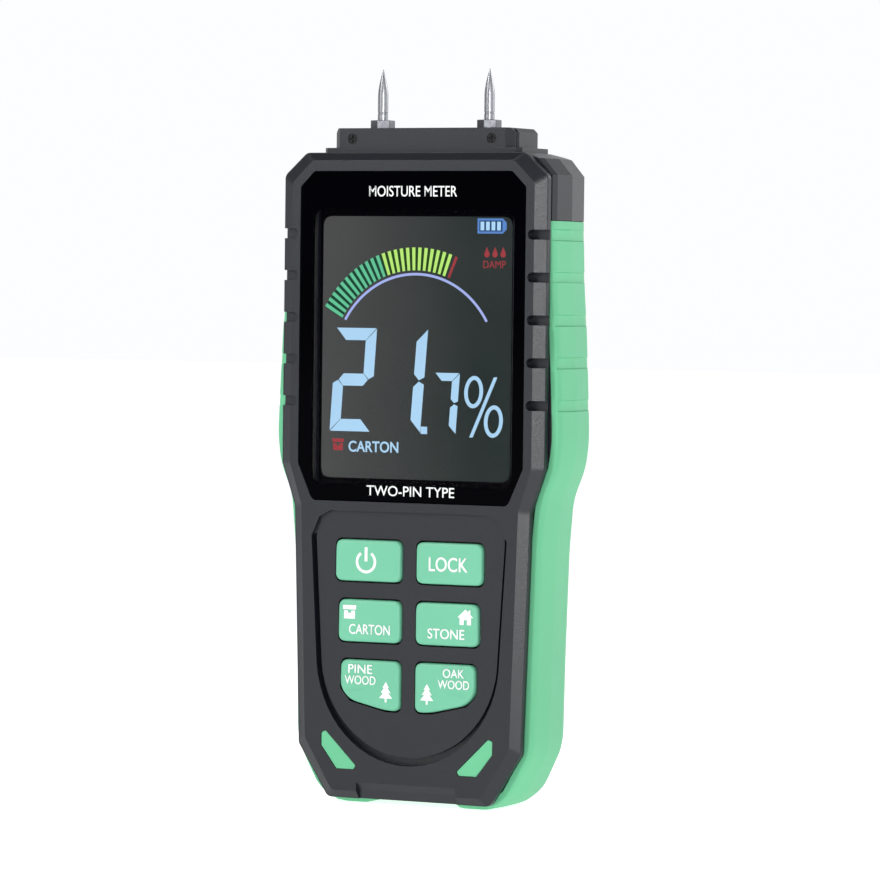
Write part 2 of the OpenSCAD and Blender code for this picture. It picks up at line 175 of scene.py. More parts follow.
PRINT = surface("white_print", (0.86, 0.88, 0.87), 0.45, grain=3500, bump=0.1, bump_mm=0.01, vary=0.02)

# Material of each CAD node that isn't replaced below
NODE_MATERIAL = {
    "front_housing": BLACK, "rear_housing": BLACK, "pin_block": BLACK, "head_cover": BLACK,
    "battery_door": BLACK, "corner_inlays": GREEN,
    "window_tape": FOAM, "lcd_backlight": WHITE_PLASTIC,
    "lcd_connector": AMBER, "main_board": BOARD, "controller_chip": CHIP, "buzzer": CHIP,
    "switch_domes": STEEL, "keypad_mat": MAT_RUBBER, "cover_screws": DARK_SCREW,
    "left_nut": NUT_STEEL, "right_nut": NUT_STEEL,
    "left_socket": BRASS, "right_socket": BRASS, "left_lead": RED_WIRE, "right_lead": WHITE_WIRE,
    "battery_1": CELL, "battery_2": CELL, "battery_3": CELL, "battery_springs": STEEL,
    "contact_plates": STEEL, "housing_screws": NUT_STEEL, "board_screws": NUT_STEEL,
}

# Width of each moulded node's edge rounding, in millimetres
EDGE_ROUND = {
    "front_housing": 0.32, "rear_housing": 0.5, "pin_block": 0.35, "head_cover": 0.35,
    "battery_door": 0.25, "corner_inlays": 0.12, "left_nut": 0.12, "right_nut": 0.12,
    "cover_screws": 0.05, "housing_screws": 0.1,
}
KEEP_FACETS = {"battery_door"}   # joining its facets would shade its ribbed face unevenly


def round_edges(obj, width_mm, flatten):
    """Joins the CAD facets into flat faces if asked, then rounds the edges between them."""
    weld = obj.modifiers.new("weld", "WELD")
    weld.merge_threshold = 0.002 * MM
    if flatten:
        flat = obj.modifiers.new("flatten", "DECIMATE")
        flat.decimate_type = "DISSOLVE"
        flat.angle_limit = math.radians(1.2)
    bevel = obj.modifiers.new("round", "BEVEL")
    bevel.width = width_mm * MM
    bevel.segments = 3
    bevel.limit_method = "ANGLE"
    bevel.angle_limit = math.radians(28)
    bevel.harden_normals = True
    bevel.miter_outer = "MITER_ARC"


def dress_nodes():
    for name, mat in NODE_MATERIAL.items():
        obj = NODES[name]
        obj.data.materials.clear()
        obj.data.materials.append(mat)
        if name in EDGE_ROUND:
            round_edges(obj, EDGE_ROUND[name], name not in KEEP_FACETS)


# ---------------------------------------------------------------- mesh helpers

def add_piece(name, mesh, mat, body):
    """Object for a mesh, in its material, riding on its body."""
    mesh.materials.append(mat)
    obj = bpy.data.objects.new(name, mesh)
    bpy.context.scene.collection.objects.link(obj)
    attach(obj, body)
    return obj


def make_piece(name, verts, faces, mat, body="case", smooth=False):
    mesh = bpy.data.meshes.new(name)
    mesh.from_pydata([tuple(v) for v in verts], [], faces)
    mesh.validate()
    bm = bmesh.new()
    bm.from_mesh(mesh)
    bmesh.ops.recalc_face_normals(bm, faces=bm.faces)
    bm.to_mesh(mesh)
    bm.free()
    if smooth:
        mesh.shade_smooth()
    return add_piece(name, mesh, mat, body)


def sharpen(obj, angle):
    """Keeps edges steeper than angle, in degrees, crisp on a smooth-shaded mesh."""
    bm = bmesh.new()
    bm.from_mesh(obj.data)
    for edge in bm.edges:
        if len(edge.link_faces) == 2 and edge.calc_face_angle(0) > math.radians(angle):
            edge.smooth = False
    bm.to_mesh(obj.data)
    bm.free()
    obj.modifiers.new("normals", "WEIGHTED_NORMAL").keep_sharp = True


def ring_faces(first, second, count):
    """Quads between two closed rings of count vertices, which start at first and second."""
    return [(first + i, first + (i + 1) % count, second + (i + 1) % count, second + i)
            for i in range(count)]


def fan_faces(ring, tip, count):
    """Triangles from a closed ring of count vertices to one vertex."""
    return [(ring + i, ring + (i + 1) % count, tip) for i in range(count)]


def soft_corner(here, back, ahead, reach, shares):
    """Points of a curve that cuts a corner, from reach before it to reach after it."""
    start = here + back.normalized() * reach
    end = here + ahead.normalized() * reach
    return [(1 - t) ** 2 * start + 2 * t * (1 - t) * here + t * t * end for t in shares]


def rounded(points, radius, steps=5):
    """Closed outline with each corner replaced by a short curve that starts radius away from it."""
    out = []
    count = len(points)
    for i, corner in enumerate(points):
        here = Vector(corner)
        back = Vector(points[i - 1]) - here
        ahead = Vector(points[(i + 1) % count]) - here
        reach = min(radius, back.length / 2, ahead.length / 2)
        out += soft_corner(here, back, ahead, reach, [k / steps for k in range(steps + 1)])
    return out


def inward(loop, distance):
    """Moves a closed outline's points inwards along their own normals."""
    count = len(loop)
    area = sum(loop[i - 1].x * loop[i].y - loop[i].x * loop[i - 1].y for i in range(count))
    side = 1 if area > 0 else -1
    out = []
    for i, point in enumerate(loop):
        along = (loop[(i + 1) % count] - loop[i - 1]).normalized()
        out.append(point + Vector((-along.y, along.x)) * distance * side)
    return out


PRINT_THICK = 0.02


def plates(shapes, depth, thick=PRINT_THICK):
    """Vertices and faces of thin plates, one for each outline of (x, z) points in millimetres."""
    verts, faces = [], []
    for shape in shapes:
        base, count = len(verts), len(shape)
        verts += [at(x, depth, z) for x, z in shape]
        verts += [at(x, depth - thick, z) for x, z in shape]
        faces.append(list(range(base, base + count)))
        faces.append(list(range(base + 2 * count - 1, base + count - 1, -1)))
        faces += ring_faces(base, base + count, count)
    return verts, faces


def slab(name, shape, front, back, mat):
    """One closed plate from depth front to depth back."""
    verts, faces = plates([[tuple(p) for p in shape]], back, back - front)
    return make_piece(name, verts, faces, mat)


def print_shapes(name, shapes, depth, mat, body="case"):
    verts, faces = plates(shapes, depth)
    make_piece(name, verts, faces, mat, body)


def print_words(name, words, centre, width, height, depth, mat, body="case", bold=0.0):
    """Words in the plain built-in face, fitted to a width and a height."""
    curve = bpy.data.curves.new(name, "FONT")
    curve.body = words
    curve.align_x = "CENTER"
    curve.offset = bold
    source = bpy.data.objects.new(name + "_source", curve)
    bpy.context.scene.collection.objects.link(source)
    mesh = bpy.data.meshes.new_from_object(source.evaluated_get(bpy.context.evaluated_depsgraph_get()))
    bpy.data.objects.remove(source)
    low = [min(v.co[k] for v in mesh.vertices) for k in (0, 1)]
    high = [max(v.co[k] for v in mesh.vertices) for k in (0, 1)]
    for v in mesh.vertices:
        x = centre[0] + ((v.co.x - low[0]) / (high[0] - low[0]) - 0.5) * width
        z = centre[1] + ((v.co.y - low[1]) / (high[1] - low[1]) - 0.5) * height
        v.co = at(x, depth, z)
    bm = bmesh.new()
    bm.from_mesh(mesh)
    grown = bmesh.ops.extrude_face_region(bm, geom=list(bm.faces))
    moved = [g for g in grown["geom"] if isinstance(g, bmesh.types.BMVert)]
    bmesh.ops.translate(bm, verts=moved, vec=(0, -PRINT_THICK * MM, 0))
    bmesh.ops.recalc_face_normals(bm, faces=bm.faces)
    bm.to_mesh(mesh)
    bm.free()
    mesh.name = name
    mesh.materials.clear()
    add_piece(name, mesh, mat, body)


def arc(cx, cz, radius, start, end, steps):
    """Points along an arc from angle start to angle end, in degrees."""
    angles = [math.radians(start + (end - start) * k / steps) for k in range(steps + 1)]
    return [(cx + radius * math.cos(a), cz + radius * math.sin(a)) for a in angles]


def ring_sector(cx, cz, inner, outer, start, end, steps=24):
    """Outline of part of a ring, from angle start to angle end, in degrees."""
    return arc(cx, cz, outer, start, end, steps) + arc(cx, cz, inner, start, end, steps)[::-1]


def rectangle(x0, z0, x1, z1):
    return [(x0, z0), (x1, z0), (x1, z1), (x0, z1)]


# ---------------------------------------------------------------- rubber boot

BOOT_T = 1.6
BOOT_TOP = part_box("rubber_boot")[1].z / MM
BOOT_FRONT = 3.4
ARCH = 1.1                       # height of the hollow between the two feet
# Right half of the boot's outline, from its top down to the hollow of the underside
BODY_HALF = [(35.4, BOOT_TOP), (35.9, 121), (36.6, 112), (37.4, 95), (37.7, 86), (36.9, 79.5),
             (33.7, 72), (32.6, 60), (31.8, 36), (31.4, 16), (30.6, 12.5), (25.6, 3.5), (20.5, 0),
             (12.5, 0), (11.2, ARCH)]
BODY_CORNER = 2.6                # how far its corners are softened
# Share of the outline's width, and height of the underside, at depths behind the rim plane
STATIONS = [(BOOT_FRONT, 0.975), (5, 0.99), (12, 1.0), (22, 0.95), (DEPTH, 0.85)]
UNDERSIDE = [(BOOT_FRONT, 1.2), (4.8, 0), (25, 0), (DEPTH, 3.5)]
# Depth and inset of the lines along the boot: front edge, outside, back edge, inside
FRONT_EDGE = [(0.0, BOOT_T), (0.0, 0.45), (0.1, 0.16), (0.35, 0.0)]
OUTSIDE = [(4.5, 0.0), (5.0, 0.03), (5.8, 0.0), (8.5, 0.0), (11.2, 0.0), (12.0, 0.05), (12.8, 0.0),
           (17, 0.0), (21.2, 0.0), (22.0, 0.1), (22.8, 0.0), (25.5, 0), (28.3, 0.0), (28.8, 0.12)]
BACK_AND_INSIDE = [(DEPTH, 0.5), (DEPTH, BOOT_T), (22, BOOT_T), (12, BOOT_T), (5, BOOT_T)]
BOOT_ROWS = [(BOOT_FRONT + d, inset) for d, inset in FRONT_EDGE] + OUTSIDE + BACK_AND_INSIDE
OUTSIDE_BELOW = 0.3              # rows with a smaller inset are outside and take the grip grooves
LIFTED_FROM = 0.4                # rows with a larger inset lie above the underside by their inset
GRIP_TOP, GRIP_PITCH, GRIP_COUNT = 133.3, 9.81, 5
GRIP_ZS = [GRIP_TOP - GRIP_PITCH * i for i in range(GRIP_COUNT)]
GRIP_HALF, GRIP_LEAD, GRIP_DEEP = 1.15, 0.25, 0.4
GRIP_DEPTHS = (BOOT_FRONT + 0.2, 24)
GRIP_ZONE = 80                   # above this height the outline takes extra points for the grooves


def between(table, x):
    for (x0, v0), (x1, v1) in zip(table, table[1:]):
        if x <= x1:
            return v0 + (v1 - v0) * (x - x0) / (x1 - x0)
    return table[-1][1]


def boot_columns():
    """Points down the right side and in to the middle of the underside, softened at the corners."""
    soft = [Vector(BODY_HALF[0])]
    for i in range(1, len(BODY_HALF) - 1):
        here = Vector(BODY_HALF[i])
        back = Vector(BODY_HALF[i - 1]) - here
        ahead = Vector(BODY_HALF[i + 1]) - here
        reach = min(BODY_CORNER, back.length * 0.45, ahead.length * 0.45)
        soft += soft_corner(here, back, ahead, reach, (0, 0.25, 0.5, 0.75, 1))
    soft += [Vector(BODY_HALF[-1]), Vector((5, ARCH)), Vector((0, ARCH))]
    edges = []
    for z in GRIP_ZS:
        edges += [z + GRIP_HALF + GRIP_LEAD, z + GRIP_HALF, z - GRIP_HALF, z - GRIP_HALF - GRIP_LEAD]
    sides = [(p.y, p.x) for p in reversed(soft) if p.y > GRIP_ZONE]
    out = soft + [Vector((between(sides, z), z)) for z in edges if z < BOOT_TOP - 0.1]
    grip = sorted([p for p in out if p.y > GRIP_ZONE], key=lambda p: -p.y)
    return grip + [p for p in out if p.y <= GRIP_ZONE]


def in_groove(depth, z):
    near = any(abs(z - g) <= GRIP_HALF + 0.01 for g in GRIP_ZS)
    return near and GRIP_DEPTHS[0] < depth < GRIP_DEPTHS[1]


def boot_point(point, normal, depth, inset):
    """Where a point of the outline comes on the row at this depth and inset."""
    cut = inset
    if inset < OUTSIDE_BELOW and in_groove(depth, point.y):
        cut += GRIP_DEEP
    q = point + normal * cut
    floor = between(UNDERSIDE, depth) + (inset if inset >= LIFTED_FROM else 0)
    height = q.y if abs(q.y - BOOT_TOP) > 0.01 else BOOT_TOP
    return at(q.x * between(STATIONS, depth), depth, max(height, floor))


def build_boot():
    right = boot_columns()
    loop = right + [Vector((-p.x, p.y)) for p in reversed(right[:-1])]
    count, deep = len(loop), len(BOOT_ROWS)
    normals = []
    for i in range(count):
        along = (loop[min(i + 1, count - 1)] - loop[max(i - 1, 0)]).normalized()
        normals.append(Vector((along.y, -along.x)))
    verts = [boot_point(p, n, depth, inset) for depth, inset in BOOT_ROWS for p, n in zip(loop, normals)]
    faces = []
    for row in range(deep):
        a, b = row * count, (row + 1) % deep * count
        faces += [(a + i, a + i + 1, b + i + 1, b + i) for i in range(count - 1)]
    faces.append([row * count for row in range(deep)])
    faces.append([row * count + count - 1 for row in reversed(range(deep))])
    boot = make_piece("boot_shell", verts, faces, GREEN, smooth=True)
    sharpen(boot, 32)
    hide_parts("rubber_boot")


# ---------------------------------------------------------------- keys

KEY_NODES = ("power_key", "hold_key", "carton_key", "masonry_key", "softwood_key", "hardwood_key")
FLANGE = 0.7
KEY_CORNER = 1.9
# Inset and depth of the rings from a key's root to its rim, then share and depth of its soft crown
KEY_RINGS = [(0, 3.1), (0, 1.3), (0, 0.8), (0.06, 0.5), (0.2, 0.28), (0.42, 0.15), (0.75, 0.08),
             (1.2, 0.05)]
KEY_CROWN = [(0.62, 0.02), (0.3, 0.0)]
LOWER_CUT = [(4, 0.1), (2.5, 2.2)]    # points of the lower keys' slanted edge, from their sides and base
LOWER_SIDE = 5                   # where it meets their outer side
KEY_FACE = -0.04                 # depth of the print on the keys


def key_outline(node):
    """A key's own outline at its cap, from its CAD box, with the lower pair cut to follow the panel."""
    lo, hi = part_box(node)
    x0, x1 = lo.x / MM + FLANGE, hi.x / MM - FLANGE
    z0, z1 = lo.z / MM + FLANGE, hi.z / MM - FLANGE
    side = 1 if x0 + x1 > 0 else -1
    inner, outer = (x0, x1) if side > 0 else (x1, x0)
    points = [(inner, z1), (inner, z0)]
    if node in ("softwood_key", "hardwood_key"):
        (near, rise), (far, climb) = LOWER_CUT
        points += [(inner + near * side, z0 + rise), (outer - far * side, z0 + climb),
                   (outer, z0 + LOWER_SIDE)]
    else:
        points += [(outer, z0)]
    return points + [(outer - 0.1 * side, z1)]


def build_key(node):
    loop = rounded(key_outline(node), KEY_CORNER)
    count = len(loop)
    verts, faces = [], []
    for inset, depth in KEY_RINGS:
        verts += [at(p.x, depth, p.y) for p in (inward(loop, inset) if inset else loop)]
    centre = sum(loop, Vector((0, 0))) / count
    rim = inward(loop, KEY_RINGS[-1][0])
    for share, depth in KEY_CROWN:
        crown = [centre.lerp(p, share) for p in rim]
        verts += [at(p.x, depth, p.y) for p in crown]
    verts.append(at(centre.x, KEY_CROWN[-1][1], centre.y))
    last = (len(KEY_RINGS) + len(KEY_CROWN) - 1) * count
    for row in range(0, last, count):
        faces += ring_faces(row, row + count, count)
    faces += fan_faces(last, last + count, count)
    faces.append(list(range(count - 1, -1, -1)))
    cap_name = node.replace("_key", "_keycap")
    key = make_piece(cap_name, verts, faces, MINT, body=node, smooth=True)
    sharpen(key, 60)
    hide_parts(node)


# Radius and height of an electrode pin, from its hidden root to its point
PIN_PROFILE = [(1.0, 147.0), (1.0, 160.05), (1.225, 160.05), (1.225, 161.45), (1.13, 161.55),
               (1.13, 161.75), (1.225, 161.85), (1.225, 165.9), (1.13, 167.1), (0.95, 168.3), (0.7, 169.5),
               (0.4, 170.7), (0.14, 171.7)]
PIN_POINT = 172.0
PIN_SIDES = 40


def build_pin(node):
    """A turned pin with a fine ring groove and a slightly curved point."""
    lo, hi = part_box(node)
    cx, cy = (lo.x + hi.x) / 2, (lo.y + hi.y) / 2
    verts, faces = [], []
    for radius, z in PIN_PROFILE:
        for k in range(PIN_SIDES):
            a = 2 * math.pi * k / PIN_SIDES
            verts.append((cx + radius * MM * math.cos(a), cy + radius * MM * math.sin(a), z * MM))
    verts.append((cx, cy, PIN_POINT * MM))
    last = (len(PIN_PROFILE) - 1) * PIN_SIDES
    for row in range(0, last, PIN_SIDES):
        faces += ring_faces(row, row + PIN_SIDES, PIN_SIDES)
    faces.append(list(range(PIN_SIDES - 1, -1, -1)))
    faces += fan_faces(last, len(verts) - 1, PIN_SIDES)
    pin = make_piece(node.replace("_pin", "_electrode"), verts, faces, STEEL, smooth=True)
    sharpen(pin, 25)
    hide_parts(node)


# ---------------------------------------------------------------- print on the keys

KEY_BOLD = 0.012


def power_sign(cx, cz):
    return [ring_sector(cx, cz, 2.05, 2.7, 125, 415), rectangle(cx - 0.36, cz + 0.1, cx + 0.36, cz + 3.4)]


def scaled(shape, cx, cz, size):
    """A sign drawn between -1 and 1, moved to its centre at its height."""
    return [(cx + x * size / 2, cz + z * size / 2) for x, z in shape]


def carton_sign(cx, cz, size):
    lid = [(-0.95, 0.3), (0.95, 0.3), (0.95, 0.85), (-0.95, 0.85)]
    tray = [(-0.8, -0.9), (0.8, -0.9), (0.8, 0.15), (0.25, 0.15), (0.25, -0.15), (-0.25, -0.15),
            (-0.25, 0.15), (-0.8, 0.15)]
    return [scaled(shape, cx, cz, size) for shape in (lid, tray)]


def house_sign(cx, cz, size):
    outline = [(0.22, -0.95), (0.78, -0.95), (0.78, -0.05), (1.08, -0.05), (0.68, 0.32), (0.68, 0.85),
               (0.42, 0.85), (0.42, 0.56), (0, 0.95), (-1.08, -0.05), (-0.78, -0.05), (-0.78, -0.95),
               (-0.22, -0.95), (-0.22, -0.35), (0.22, -0.35)]
    return [scaled(outline, cx, cz, size)]


def tree_sign(cx, cz, size):
    half = [(0, 1.0), (0.36, 0.42), (0.18, 0.42), (0.55, -0.08), (0.28, -0.08), (0.72, -0.62),
            (0.1, -0.62), (0.1, -1.0)]
    outline = half + [(-x, z) for x, z in reversed(half[1:])]
    return [scaled(outline, cx, cz, size)]


def key_sign(name, shapes, key):
    print_shapes(name, shapes, KEY_FACE, PRINT, key)


def key_word(name, word, centre, width, height, key):
    print_words(name, word, centre, width, height, KEY_FACE, PRINT, key, bold=KEY_BOLD)


def label_keys():
    key_sign("power_symbol", power_sign(-11.0, 56.8), "power_key")
    key_word("hold_label", "LOCK", (10.6, 56.9), 10.2, 3.4, "hold_key")
    key_sign("carton_symbol", carton_sign(-15.2, 45.0, 3.6), "carton_key")
    key_word("carton_label", "CARTON", (-9.9, 41.0), 10.8, 2.4, "carton_key")
    key_sign("masonry_symbol", house_sign(15.2, 44.9, 3.8), "masonry_key")
    key_word("masonry_label", "STONE", (10.2, 40.8), 9.6, 2.4, "masonry_key")
    key_word("soft_label", "PINE", (-12.2, 31.7), 6.4, 2.1, "softwood_key")
    key_word("soft_wood_label", "WOOD", (-12.2, 29.1), 8.2, 2.1, "softwood_key")
    key_sign("softwood_symbol", tree_sign(-5.4, 26.6, 4.8), "softwood_key")
    key_word("hard_label", "OAK", (12.3, 31.7), 5.6, 2.1, "hardwood_key")
    key_word("hard_wood_label", "WOOD", (12.3, 29.1), 8.2, 2.1, "hardwood_key")
    key_sign("hardwood_symbol", tree_sign(5.4, 26.6, 4.8), "hardwood_key")


# ---------------------------------------------------------------- display

WINDOW_FACE, WINDOW_BACK = 0.4, 1.45
WINDOW_CUT = 3.6                 # its cut upper corners
WAIST_TOP, WAIST_KNEE, FOOT_HALF = 79.5, (25.9, 71.7), 25.1   # its tapered lower end
BORDER_MARGIN = 1.6              # clear rim between the lit field and the printed border
LCD_FACE = 2.8                   # the lit layer, behind the window
LCD_HALF, LCD_LOW, LCD_HIGH = 24.75, 76.2, 137.4


def lcd_ground():
    """Dark grey field of the display, lighter towards its left."""
    mat, nodes, links, bsdf = new_material("lcd_field")
    place = nodes.new("ShaderNodeTexCoord").outputs["Object"]
    split = nodes.new("ShaderNodeSeparateXYZ")
    links.new(place, split.inputs["Vector"])
    reach = (-LCD_HALF * MM, 0.6 * LCD_HALF * MM)
    across = map_range(nodes, links, split.outputs["X"], (0.85, 0.0), reach)
    shade = nodes.new("ShaderNodeMath")
    shade.operation = "MULTIPLY_ADD"
    shade.inputs[1].default_value = 0.3
    links.new(noise(nodes, links, place, BROAD, 1.0), shade.inputs[0])
    links.new(across, shade.inputs[2])
    tint = blend(nodes, links, shade.outputs["Value"], (0.010, 0.021, 0.018), (0.078, 0.078, 0.078))
    links.new(tint, bsdf.inputs["Emission Color"])
    bsdf.inputs["Base Color"].default_value = (0.004, 0.005, 0.005, 1)
    bsdf.inputs["Emission Strength"].default_value = 1.0
    bsdf.inputs["Roughness"].default_value = 0.3
    bsdf.inputs["Specular IOR Level"].default_value = 0.1
    return mat


def clear_pane():
    """Tinted clear acrylic over the display."""
    mat, *_, bsdf = new_material("clear_acrylic")
    bsdf.inputs["Base Color"].default_value = (0.004, 0.004, 0.006, 1)
    bsdf.inputs["Roughness"].default_value = 0.06
    bsdf.inputs["Specular IOR Level"].default_value = 0.12
    bsdf.inputs["Alpha"].default_value = 0.1
    return mat


def on_loop(loop, centre, point):
    """Where the line from centre through point crosses a closed loop."""
    way = point - centre
    for i, a in enumerate(loop):
        edge = loop[(i + 1) % len(loop)] - a
        cross = way.x * edge.y - way.y * edge.x
        if abs(cross) < 1e-9:
            continue
        off = a - centre
        t = (off.x * edge.y - off.y * edge.x) / cross
        u = (off.x * way.y - off.y * way.x) / cross
        if t > 0 and -1e-6 <= u <= 1 + 1e-6:
            return centre + way * t
    return point


def window_outline():
    """The window's outline, with points at most about 2 mm apart."""
    lo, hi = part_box("display_window")
    x, low, high = hi.x / MM, lo.z / MM, hi.z / MM
    half = [(x - WINDOW_CUT, high), (x, high - WINDOW_CUT), (x, WAIST_TOP), WAIST_KNEE, (FOOT_HALF, low)]
    outer = rounded(half + [(-a, b) for a, b in reversed(half)], 0.9, 4)
    fine = []
    for i, point in enumerate(outer):
        ahead = outer[(i + 1) % len(outer)]
        steps = max(1, int((ahead - point).length / 2))
        fine += [point.lerp(ahead, k / steps) for k in range(steps)]
    return fine


def build_window():
    """The window's black printed border, and the clear pane inside it."""
    outline = window_outline()
    x, low, high = LCD_HALF + BORDER_MARGIN, LCD_LOW - BORDER_MARGIN, LCD_HIGH + BORDER_MARGIN
    hole = rounded(rectangle(x, high, -x, low), 2.5)
    # Each point of the border's outline is joined to the hole along the line to the centre
    centre = Vector((0, (LCD_LOW + LCD_HIGH) / 2))
    inner = [on_loop(hole, centre, p) for p in outline]
    soft = 0.12
    rings = ((inner, WINDOW_BACK), (inner, WINDOW_FACE), (inward(outline, soft), WINDOW_FACE),
             (outline, WINDOW_FACE + soft), (outline, WINDOW_BACK))
    count = len(outline)
    verts, faces = [], []
    for i, (loop, depth) in enumerate(rings):
        verts += [at(p.x, depth, p.y) for p in loop]
        faces += ring_faces(i * count, (i + 1) % len(rings) * count, count)
    border = make_piece("window_border", verts, faces, GLASS_BLACK)
    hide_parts("display_window")
    slab("window_pane", inward(inner, 0.01), WINDOW_FACE, WINDOW_BACK, clear_pane())


# ---------------------------------------------------------------- what the display shows

LIT = LCD_FACE - 0.03            # depth of the lit shapes
STEP = 0.02                      # between bars, their bed and the lit shapes
GAUGE = (-0.2, 102.7)
GAUGE_RADII, BED_RADII, ARC_RADII = (22.2, 27.5), (22.3, 27.4), (21.0, 21.6)
BAR_FIRST, BAR_PITCH, BAR_WIDE = 149.5, 3.42, 1.8   # degrees
BARS, LOW_BARS = 24, 12
DIGIT_LOW = 87.1
BIG_BARS, SMALL_BARS = (2.75, 2.85), (1.9, 1.85)    # widths of upright and level bars


def seven_segments(x, z, width, height, bars, slant, lit):
    """Outlines of the lit bars of one slanted digit whose lower left corner is at (x, z)."""
    h, w, half = height, width, height / 2
    v, b = bars                      # width of the upright bars and height of the level ones
    gap = 0.14
    shapes = {
        "top": [(gap, h), (w - gap, h), (w - v, h - b), (v, h - b)],
        "upper_right": [(w, h - gap), (w, half + b * 0.3), (w - v / 2, half + gap),
                        (w - v, half + b / 2 + gap), (w - v, h - b - gap)],
        "lower_right": [(w, half - b * 0.3), (w, gap), (w - v, b + gap), (w - v, half - b / 2),
                        (w - v / 2, half - gap)],
        "bottom": [(gap, 0), (v, b), (w - v, b), (w - gap, 0)],
        "lower_left": [(0, gap), (0, half - b * 0.3), (v / 2, half - gap), (v, half - b / 2 - gap),
                       (v, b + gap)],
        "middle": [(v / 2 + gap, half), (v, half + b / 2), (w - v, half + b / 2),
                   (w - v / 2 - gap, half), (w - v, half - b / 2), (v, half - b / 2)],
    }
    return [[(x + px + pz * slant, z + pz) for px, pz in shapes[name]] for name in lit]


def show_reading(ice):
    two = seven_segments(-22.6, DIGIT_LOW, 10.75, 24.2, BIG_BARS, 0.065,
                         ("top", "upper_right", "middle", "lower_left", "bottom"))
    one = seven_segments(-9.15, DIGIT_LOW, 10.5, 24.2, BIG_BARS, 0.075, ("upper_right", "lower_right"))
    seven = seven_segments(4.1, 87.0, 6.5, 14.2, SMALL_BARS, 0.07, ("top", "upper_right", "lower_right"))
    point = rectangle(1.5, 86.9, 3.2, 88.6)
    print_shapes("reading", two + one + seven + [point], LIT, ice)
    rings = percent_ring(15.2, 96.9) + percent_ring(20.4, 90.2)
    slash = [(14.2, 86.4), (15.1, 86.4), (21.3, 100.4), (20.4, 100.4)]
    print_shapes("percent", rings, LIT, ice)
    print_shapes("percent_slash", [slash], LIT - 0.03, ice)


def percent_ring(cx, cz):
    """The two halves of an upright, slightly slanted oval ring."""
    half_x, half_z, line, slant = 2.45, 3.75, 0.95, 0.05
    halves = []
    for start in (0, 180):
        angles = [math.radians(start + 180 * k / 16) for k in range(17)]
        edge = [(half_x * math.cos(a), half_z * math.sin(a)) for a in angles]
        edge += [((half_x - line) * math.cos(a), (half_z - line) * math.sin(a)) for a in reversed(angles)]
        halves.append([(cx + x + z * slant, cz + z) for x, z in edge])
    return halves


def show_gauge():
    """Two colours of bars over dark beds; build_display adds the red bar at their end and the line below
    them.
    """
    middles = [BAR_FIRST - BAR_PITCH * i for i in range(BARS)]
    bars = [ring_sector(*GAUGE, *GAUGE_RADII, t + BAR_WIDE / 2, t - BAR_WIDE / 2, 4) for t in middles]
    split = BAR_FIRST - BAR_PITCH * (LOW_BARS - 0.5)
    low_bed = ring_sector(*GAUGE, *BED_RADII, BAR_FIRST + 1.2, split)
    high_bed = ring_sector(*GAUGE, *BED_RADII, split, middles[-1] - 1.2)
    print_shapes("gauge_low_bed", [low_bed], LIT + STEP, glow("segment_pine_dark", (0.004, 0.055, 0.03)))
    print_shapes("gauge_high_bed", [high_bed], LIT + STEP, glow("segment_lime_dark", (0.012, 0.055, 0.006)))
    print_shapes("gauge_low", bars[:LOW_BARS], LIT - STEP, glow("segment_pine", (0.13, 0.60, 0.33)))
    print_shapes("gauge_high", bars[LOW_BARS:], LIT - STEP, glow("segment_lime", (0.54, 0.92, 0.20)))


def build_display():
    glass_shape = rounded(rectangle(-25.4, 74.4, 25.4, 139.6), 0.5)
    glass = slab("display_glass", glass_shape, LCD_FACE + 0.02, LCD_FACE + 2.3, GLASS_BLACK)
    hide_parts("lcd_panel")
    field = rounded(rectangle(-LCD_HALF, LCD_LOW, LCD_HALF, LCD_HIGH), 2.4)
    print_shapes("lcd_field", [[tuple(p) for p in field]], LCD_FACE, lcd_ground())
    ice = glow("segment_ice", (0.46, 0.74, 1.0))
    red = glow("segment_red", (0.36, 0.045, 0.055))
    lilac = glow("segment_lilac", (0.42, 0.50, 0.95))
    show_gauge()
    last = BAR_FIRST - BAR_PITCH * BARS
    red_bar = ring_sector(*GAUGE, *GAUGE_RADII, last + 0.75, last - 0.75, 4)
    print_shapes("gauge_red", [red_bar], LIT, red)
    print_shapes("gauge_arc", [ring_sector(*GAUGE, *ARC_RADII, 150.5, 29.5, 48)], LIT, lilac)
    show_reading(ice)
    print_shapes("mode_symbol", carton_sign(-20.3, 84.0, 3.2), LIT, red)
    print_words("mode_word", "CARTON", (-10.9, 83.6), 13.2, 2.6, LIT, ice, bold=0.02)
    drops = [arc(x, 128.7, 0.68, 150, 390, 14) + [(x, 130.4)] for x in (18.2 + 2.1 * i for i in range(3))]
    print_shapes("wet_drops", drops, LIT, red)
    print_words("wet_word", "DAMP", (20.2, 126.4), 5.8, 1.7, LIT, red)
    battery_sign(ice)


def battery_sign(fill):
    x0, x1, z0, z1, line, bars = 15.7, 22.2, 133.5, 137.0, 0.5, 4
    nub, nub_inset = 1.0, 0.95
    case = [(x0, z0), (x1, z0), (x1 + nub, z0 + nub_inset), (x1 + nub, z1 - nub_inset), (x1, z1), (x0, z1)]
    print_shapes("battery_outline", [case], LIT, glow("segment_blue", (0.10, 0.25, 0.62)))
    inside = rectangle(x0 + line, z0 + line, x1 - 0.05, z1 - line)
    print_shapes("battery_inside", [inside], LIT - 0.03, glow("segment_navy", (0.012, 0.05, 0.17)))
    pitch = (x1 - x0 - line - 0.3) / bars
    cells = [rectangle(x0 + line + 0.3 + pitch * i, z0 + 0.75, x0 + line + 1.25 + pitch * i, z1 - 0.75)
             for i in range(bars)]
    print_shapes("battery_bars", cells, LIT - 0.06, fill)


